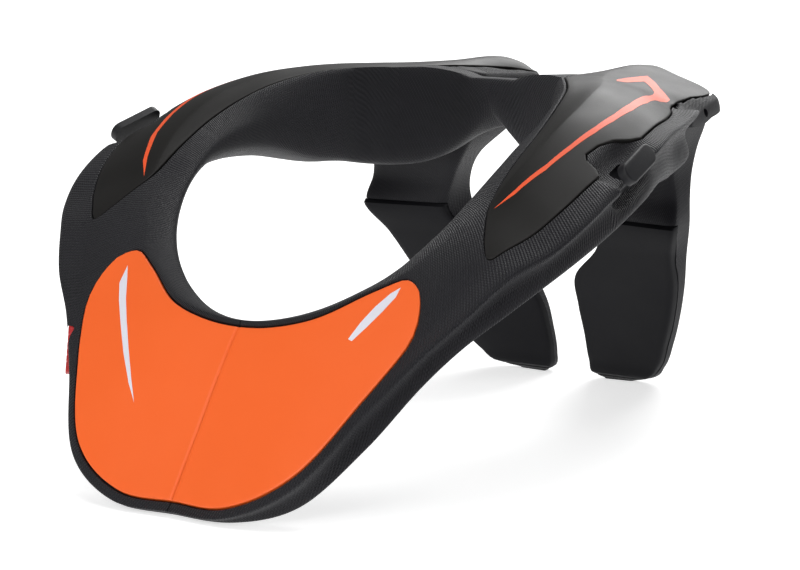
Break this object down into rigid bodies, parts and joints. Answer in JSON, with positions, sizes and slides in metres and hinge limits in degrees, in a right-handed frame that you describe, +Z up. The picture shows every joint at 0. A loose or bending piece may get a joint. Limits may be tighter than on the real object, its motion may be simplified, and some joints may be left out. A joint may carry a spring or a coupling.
{
  "type": "motocross neck brace",
  "caption": "Padded collar split at the front, with hard plates let into its top, supports down the back and a push button beside the chest plates.",
  "frame": {"origin": "middle of the whole brace's box, on the floor it stands on", "axes": "+Z up, -Y the way the wearer faces, +X the wearer's left"},
  "size_m": [0.2428, 0.2708, 0.1359],
  "materials": {
    "padding": "textured matt foam skin",
    "orange_plate": "satin",
    "dark_plate": "satin",
    "leg_shell": "textured matt foam skin",
    "leg_cover": "smooth satin",
    "tab": "satin",
    "button": "matt, ribbed",
    "clasp": "satin"
  },
  "bodies": {
    "brace": {"collar_foam": "padding", "chest_plate_left": "orange_plate", "shoulder_plate_left": "dark_plate", "back_leg_left": "leg_shell", "leg_pad_left": "leg_cover", "strap_tab_left": "tab", "chest_plate_right": "orange_plate", "shoulder_plate_right": "dark_plate", "back_leg_right": "leg_shell", "leg_pad_right": "leg_cover", "strap_tab_right": "tab", "front_clasp": "clasp"},
    "button": {"release_button": "button"}
  },
  "joints": [
    {"name": "button_press", "type": "slide", "parent": "brace", "child": "button", "axis": [0.7639, 0.6366, -0.1061], "range_m": [0, 0.0025], "stiffness_N_per_m": 400}
  ]
}
